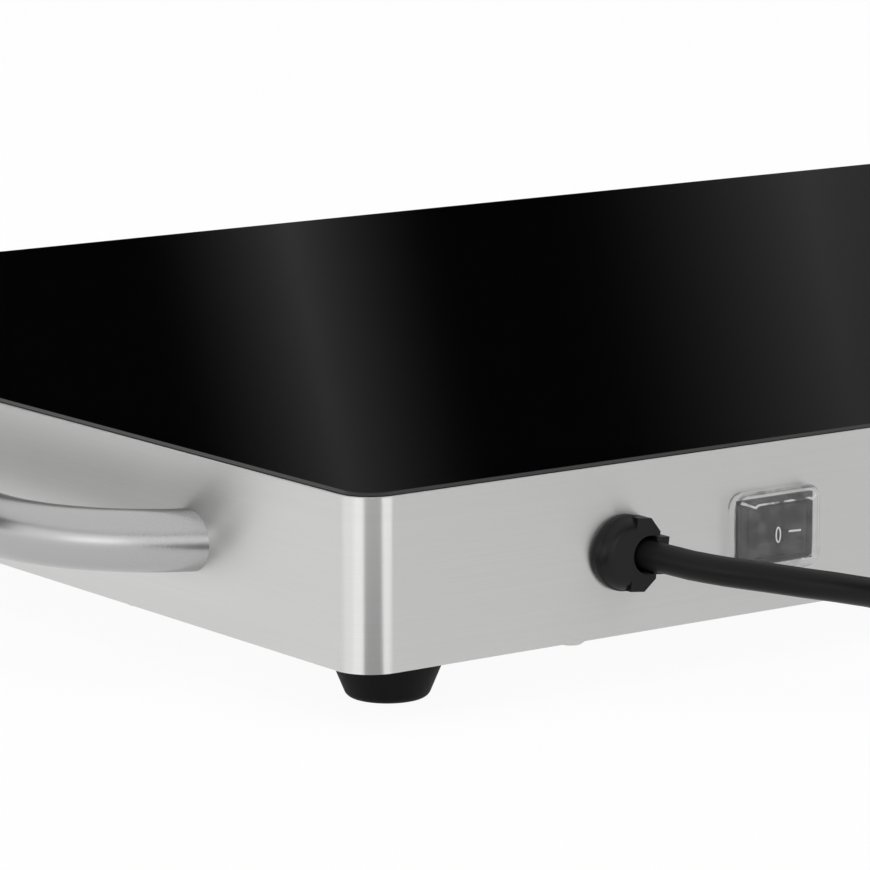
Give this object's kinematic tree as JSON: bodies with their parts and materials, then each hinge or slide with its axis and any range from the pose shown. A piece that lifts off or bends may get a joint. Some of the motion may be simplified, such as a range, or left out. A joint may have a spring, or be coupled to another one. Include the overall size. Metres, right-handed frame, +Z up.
{
  "type": "electric food warmer tray",
  "caption": "Flat electric warming tray: steel box with a black glass top, bow handles at both ends, rubber feet, temperature knob, 0-I rocker under a clear boot and a coiled mains lead.",
  "frame": {"origin": "on the surface under the feet, below the middle of the box round the tray with its handles, knob and switch boot; the mains lead is left out", "axes": "+X along the long walls towards the handle beside the mains lead, +Y towards the wall with the lead and the rocker, +Z up"},
  "size_m": [0.6738, 0.5618, 0.0578],
  "materials": {
    "brushed_steel": "brushed along the walls",
    "polished_steel": "satin tube, polished",
    "plain_steel": "plain sheet",
    "zinc_steel": "zinc plated",
    "black_glass": "black, polished",
    "clear_silicone": "clear, soft",
    "silicone": "matt",
    "foot_rubber": "matt",
    "aluminium": "mill finish",
    "heater_cord": "silicone",
    "mineral_mat": "felted",
    "black_plastic": "fine texture",
    "rocker_plastic": "gloss",
    "cable_plastic": "satin",
    "brass": "bright",
    "copper": "drawn copper",
    "ceramic": "unglazed",
    "white_plastic": "smooth",
    "amber_plastic": "translucent",
    "brown_wire": "smooth",
    "blue_wire": "smooth",
    "green_wire": "smooth",
    "white_wire": "smooth",
    "grey_sleeve": "smooth",
    "pin_metal": "nickel plated"
  },
  "bodies": {
    "tray": {"body_shell": "brushed_steel", "glass_ledge": "plain_steel", "glass_seal": "silicone", "glass_top": "black_glass", "heat_spreader": "aluminium", "heating_cord": "heater_cord", "insulation_mat": "mineral_mat", "insulation_pan": "zinc_steel", "front_rail": "zinc_steel", "rear_rail": "zinc_steel", "rail_screws": "zinc_steel", "pan_screws": "zinc_steel", "base_plate": "plain_steel", "base_screws": "zinc_steel", "left_handle": "polished_steel", "right_handle": "polished_steel", "handle_screws": "zinc_steel", "foot_front_left": "foot_rubber", "foot_front_right": "foot_rubber", "foot_rear_left": "foot_rubber", "foot_rear_right": "foot_rubber", "foot_screws": "zinc_steel", "foot_nuts": "zinc_steel", "bushing_body": "black_plastic", "bushing_jaw": "black_plastic", "supply_tail": "cable_plastic", "switch_housing": "black_plastic", "switch_terminals": "brass", "switch_boot": "clear_silicone", "thermostat_body": "ceramic", "thermostat_screws": "zinc_steel", "sensor_bulb": "copper", "capillary_tube": "copper", "lamp_body": "white_plastic", "lamp_lens": "amber_plastic", "terminal_block": "white_plastic", "terminal_screws": "brass", "thermal_cutout": "ceramic", "earth_stud": "zinc_steel", "harness_sleeve": "grey_sleeve", "harness_grommets": "silicone", "live_wires": "brown_wire", "neutral_wires": "blue_wire", "earth_wire": "green_wire", "heater_leads": "white_wire", "mains_lead": "cable_plastic", "lead_coil": "cable_plastic", "plug_lead": "cable_plastic", "lead_tie": "silicone", "plug_body": "black_plastic", "plug_pins": "pin_metal"},
    "rocker": {"rocker": "rocker_plastic"},
    "knob": {"thermostat_knob": "black_plastic", "thermostat_shaft": "zinc_steel"}
  },
  "joints": [
    {"name": "rocker_switch", "type": "hinge", "parent": "tray", "child": "rocker", "pos_m": [0.1717, 0.20595, 0.0348], "axis": [0, 0, 1], "range_deg": [0, 14]},
    {"name": "thermostat_dial", "type": "hinge", "parent": "tray", "child": "knob", "pos_m": [0.2, -0.19875, 0.03525], "axis": [0, 1, 0], "range_deg": [0, 270]}
  ]
}
